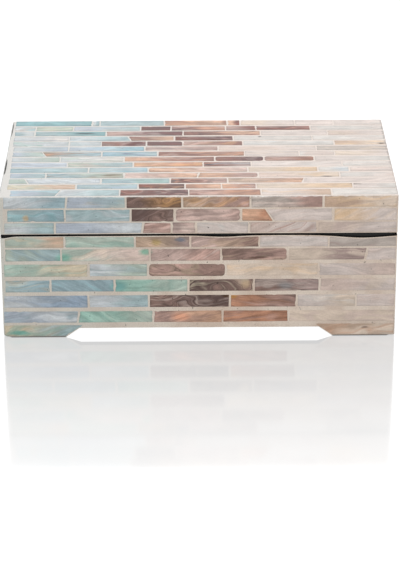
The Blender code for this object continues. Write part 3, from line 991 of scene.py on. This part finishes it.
def body_plan():
    """Points round the body from its left front corner: side, place along it, outer and inner point, and
    the direction outwards.
    """
    inner_half = GROUT_HALF - Vector((BED, BED, 0))
    inner_core = inner_half - Vector((INNER_RADIUS, INNER_RADIUS, 0))
    spots = []
    for side in ("front", "right", "back", "left"):
        along, up = (Vector(axis) for axis in Face.AXES[side])
        out = along.cross(up)
        half, deep = abs(CORE.dot(along)), abs(CORE.dot(out))
        inner_along, inner_deep = abs(inner_core.dot(along)), abs(inner_core.dot(out))
        slant_start = half + EDGE_RADIUS + PROUD - foot_length(side)
        turns = [slant_start - FOOT_SLANT * TOE_GAP / FOOT_HEIGHT, slant_start - FOOT_SLANT]
        marks = sorted([-half, half] + turns + [-t for t in turns])
        us = []
        for a, b in zip(marks, marks[1:]):
            count = max(1, round((b - a) / GROUT_STEP))
            us += [a + (b - a) * i / count for i in range(count)]
        us.append(half)
        for u in us:
            outer = along * u + out * (deep + EDGE_RADIUS)
            inner = along * max(-inner_along, min(inner_along, u)) + out * (inner_deep + INNER_RADIUS)
            spots.append((side, u, outer, inner, out))
        for step in range(1, CORNER_STEPS):
            angle = math.pi / 2 * step / CORNER_STEPS
            round_out = out * math.cos(angle) + along * math.sin(angle)
            outer = along * half + out * deep + round_out * EDGE_RADIUS
            inner = along * inner_along + out * inner_deep + round_out * INNER_RADIUS
            spots.append((side, half, outer, inner, round_out))
    return spots


def body_row(row, low, high):
    """The height of a row of the body's grout, and how far its eased edges are drawn in there."""
    last = len(EASE) - 1
    from_end = min(row, BODY_ROWS - row)
    if from_end > last:
        run = high - low - 2 * EASE_HEIGHT
        return low + EASE_HEIGHT + run * (row - last) / (BODY_ROWS - 2 * last), 0.0
    share, pull = EASE[from_end]
    rise = EASE_HEIGHT * share
    return (low + rise if row == from_end else high - rise), pull


def body_grout(material, paint):
    """The body's grout: a band round the walls, with the feet, the dipping rim and a black upper edge."""
    shape = bmesh.new()
    bare = shape.verts.layers.float.new("bare")
    spots = body_plan()
    lows, highs = [], []
    for side, u, outer, inner, _ in spots:
        low = foot_line(side, u)
        on_apron = low > FOOT_HEIGHT - 0.01 * MM
        if on_apron:
            low += APRON_WANDER * wander(u / APRON_RUN, len(side), APRON_SEED)
        lows.append((max(low, chip_line(outer.x, outer.y)), max(low, chip_line(inner.x, inner.y))))
        highs.append(BODY_TOP - rim_dip(side, u))
    outer_rows = []
    for row in range(BODY_ROWS + 1):
        ring = []
        for (_, _, outer, _, out), (low, _), high in zip(spots, lows, highs):
            z, pull = body_row(row, low, high)
            place = Vector((outer.x, outer.y, z)) - out * pull
            place += out * GROUT_WANDER * wander(*(place / GROUT_RUN))
            vertex = shape.verts.new(place)
            vertex[bare] = 0.0
            ring.append(vertex)
        outer_rows.append(ring)
    inner_rows = []
    for upper in (True, False):
        ring = []
        for (_, _, _, inner, _), (_, low), high in zip(spots, lows, highs):
            ring.append(shape.verts.new((inner.x, inner.y, high if upper else low)))
        inner_rows.append(ring)
    skin_rows(shape, outer_rows)
    # The grout's upper edge takes the black paint: painted shade for the narrow gap under the lid
    first_ledge = len(shape.faces)
    skin_rows(shape, [outer_rows[-1], inner_rows[0]])
    shape.faces.ensure_lookup_table()
    for face in shape.faces[first_ledge:]:
        face.material_index = 1
    skin_rows(shape, inner_rows + [outer_rows[0]])
    object_from("body_grout", shape, [material, paint], shell_nodes("body"))


def paint_boards(paint):
    """The boards keep their solids and take the paint."""
    for name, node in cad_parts.items():
        if name.endswith("_board"):
            node.data.materials.clear()
            node.data.materials.append(paint)


def patch(g, place, half_x, half_y, shoulder):
    """One inside a rectangle about the middle, none outside. Past the shoulder its sides slant in."""
    x, y = g.axes(g.add("VectorMath", {0: place}, operation="ABSOLUTE"), "XY")
    past = g.math("MAXIMUM", g.math("SUBTRACT", y, shoulder), 0.0)
    x = g.math("SUBTRACT", g.math("MULTIPLY_ADD", past, PATCH_SLANT, x), half_x)
    y = g.math("SUBTRACT", y, half_y)
    return g.ramp(g.math("MAXIMUM", x, y), *PATCH_EDGE, 1.0, 0.0)


def white_floor():
    """A wide white floor, lit from within like a light table, whose gloss mirrors the box faintly."""
    g = Graph("white_floor", "floor")
    place = g.place()
    clouds = g.noise(g.stretch(place, (FLOOR_CLOUDS,) * 3), 2.0, 0.5)
    g.finish("Base Color", g.blend(clouds, *(grey(level) for level in FLOOR_GREYS)))
    g.finish("Emission Color", grey(1.0))
    glow = g.ramp(*g.axes(place, "Y"), *GLOW_RUN, GLOW_AFAR, FLOOR_GLOW)
    # A painted shadow under the box, and painted light in the gap under its front
    under_box = patch(g, place, *CAD_BOX[1].xy, CAD_BOX[1].y - CHIP[1])
    glow = g.blend_number(under_box, glow, SHADE_GLOW)
    from_gap = g.stretch(place, (1.0, 1.0, 1.0), (0.0, -GAP_MIDDLE, 0.0))
    glow = g.blend_number(patch(g, from_gap, *GAP_LIGHT, GAP_SHOULDER), glow, GAP_GLOW)
    g.finish("Emission Strength", glow)
    mesh = bpy.data.meshes.new("floor")
    corners = [(x * FLOOR_REACH, y * FLOOR_REACH, 0) for x, y in ((-1, -1), (1, -1), (1, 1), (-1, 1))]
    mesh.from_pydata(corners, [], [(0, 1, 2, 3)])
    mesh.materials.append(g.material)
    floor = bpy.data.objects.new("floor", mesh)
    bpy.context.scene.collection.objects.link(floor)


def softbox(name, place, width, height, power, colour):
    """A rectangular area light that faces the box."""
    light = bpy.data.lights.new(name, "AREA")
    light.shape = "RECTANGLE"
    light.size = width
    light.size_y = height
    light.energy = power
    light.color = colour
    lamp = bpy.data.objects.new(name, light)
    lamp.location = place
    lamp.rotation_euler = (Vector(AIM) - Vector(place)).to_track_quat("-Z", "Y").to_euler()
    bpy.context.scene.collection.objects.link(lamp)


def studio():
    """Soft white light from all round, more from above, and a bright wall behind that the gloss shows."""
    scene = bpy.context.scene
    world = bpy.data.worlds.new("studio")
    world.use_nodes = True
    background = world.node_tree.nodes["Background"]
    background.inputs["Color"].default_value = grey(1.0)
    background.inputs["Strength"].default_value = WORLD_LIGHT
    scene.world = world
    for name, values in SOFTBOXES.items():
        softbox(name, *values)
    scene.view_settings.view_transform = "Standard"


def camera():
    scene = bpy.context.scene
    lens = bpy.data.cameras.new("camera")
    lens.lens = CAMERA_LENS_MM
    lens.sensor_width = CAMERA_SENSOR_MM
    eye = bpy.data.objects.new("camera", lens)
    turn = Matrix.Rotation(math.radians(-CAMERA_YAW), 4, "Z")
    tip = Matrix.Rotation(math.radians(90 - CAMERA_PITCH), 4, "X")
    roll = Matrix.Rotation(math.radians(CAMERA_ROLL), 4, "Z")
    eye.matrix_world = Matrix.Translation(CAMERA_PLACE) @ turn @ tip @ roll
    scene.collection.objects.link(eye)
    scene.camera = eye


def main():
    camera()
    studio()
    white_floor()
    paint = black_paint()
    grout = grout_finish()
    finishes = {colour: nacre(f"{colour}_shell", contrast) for colour, contrast in CONTRASTS.items()}
    paint_boards(paint)
    for face in FACES:
        lay_strips(Face(face), finishes)
    lid_grout(grout)
    body_grout(grout, paint)


main()
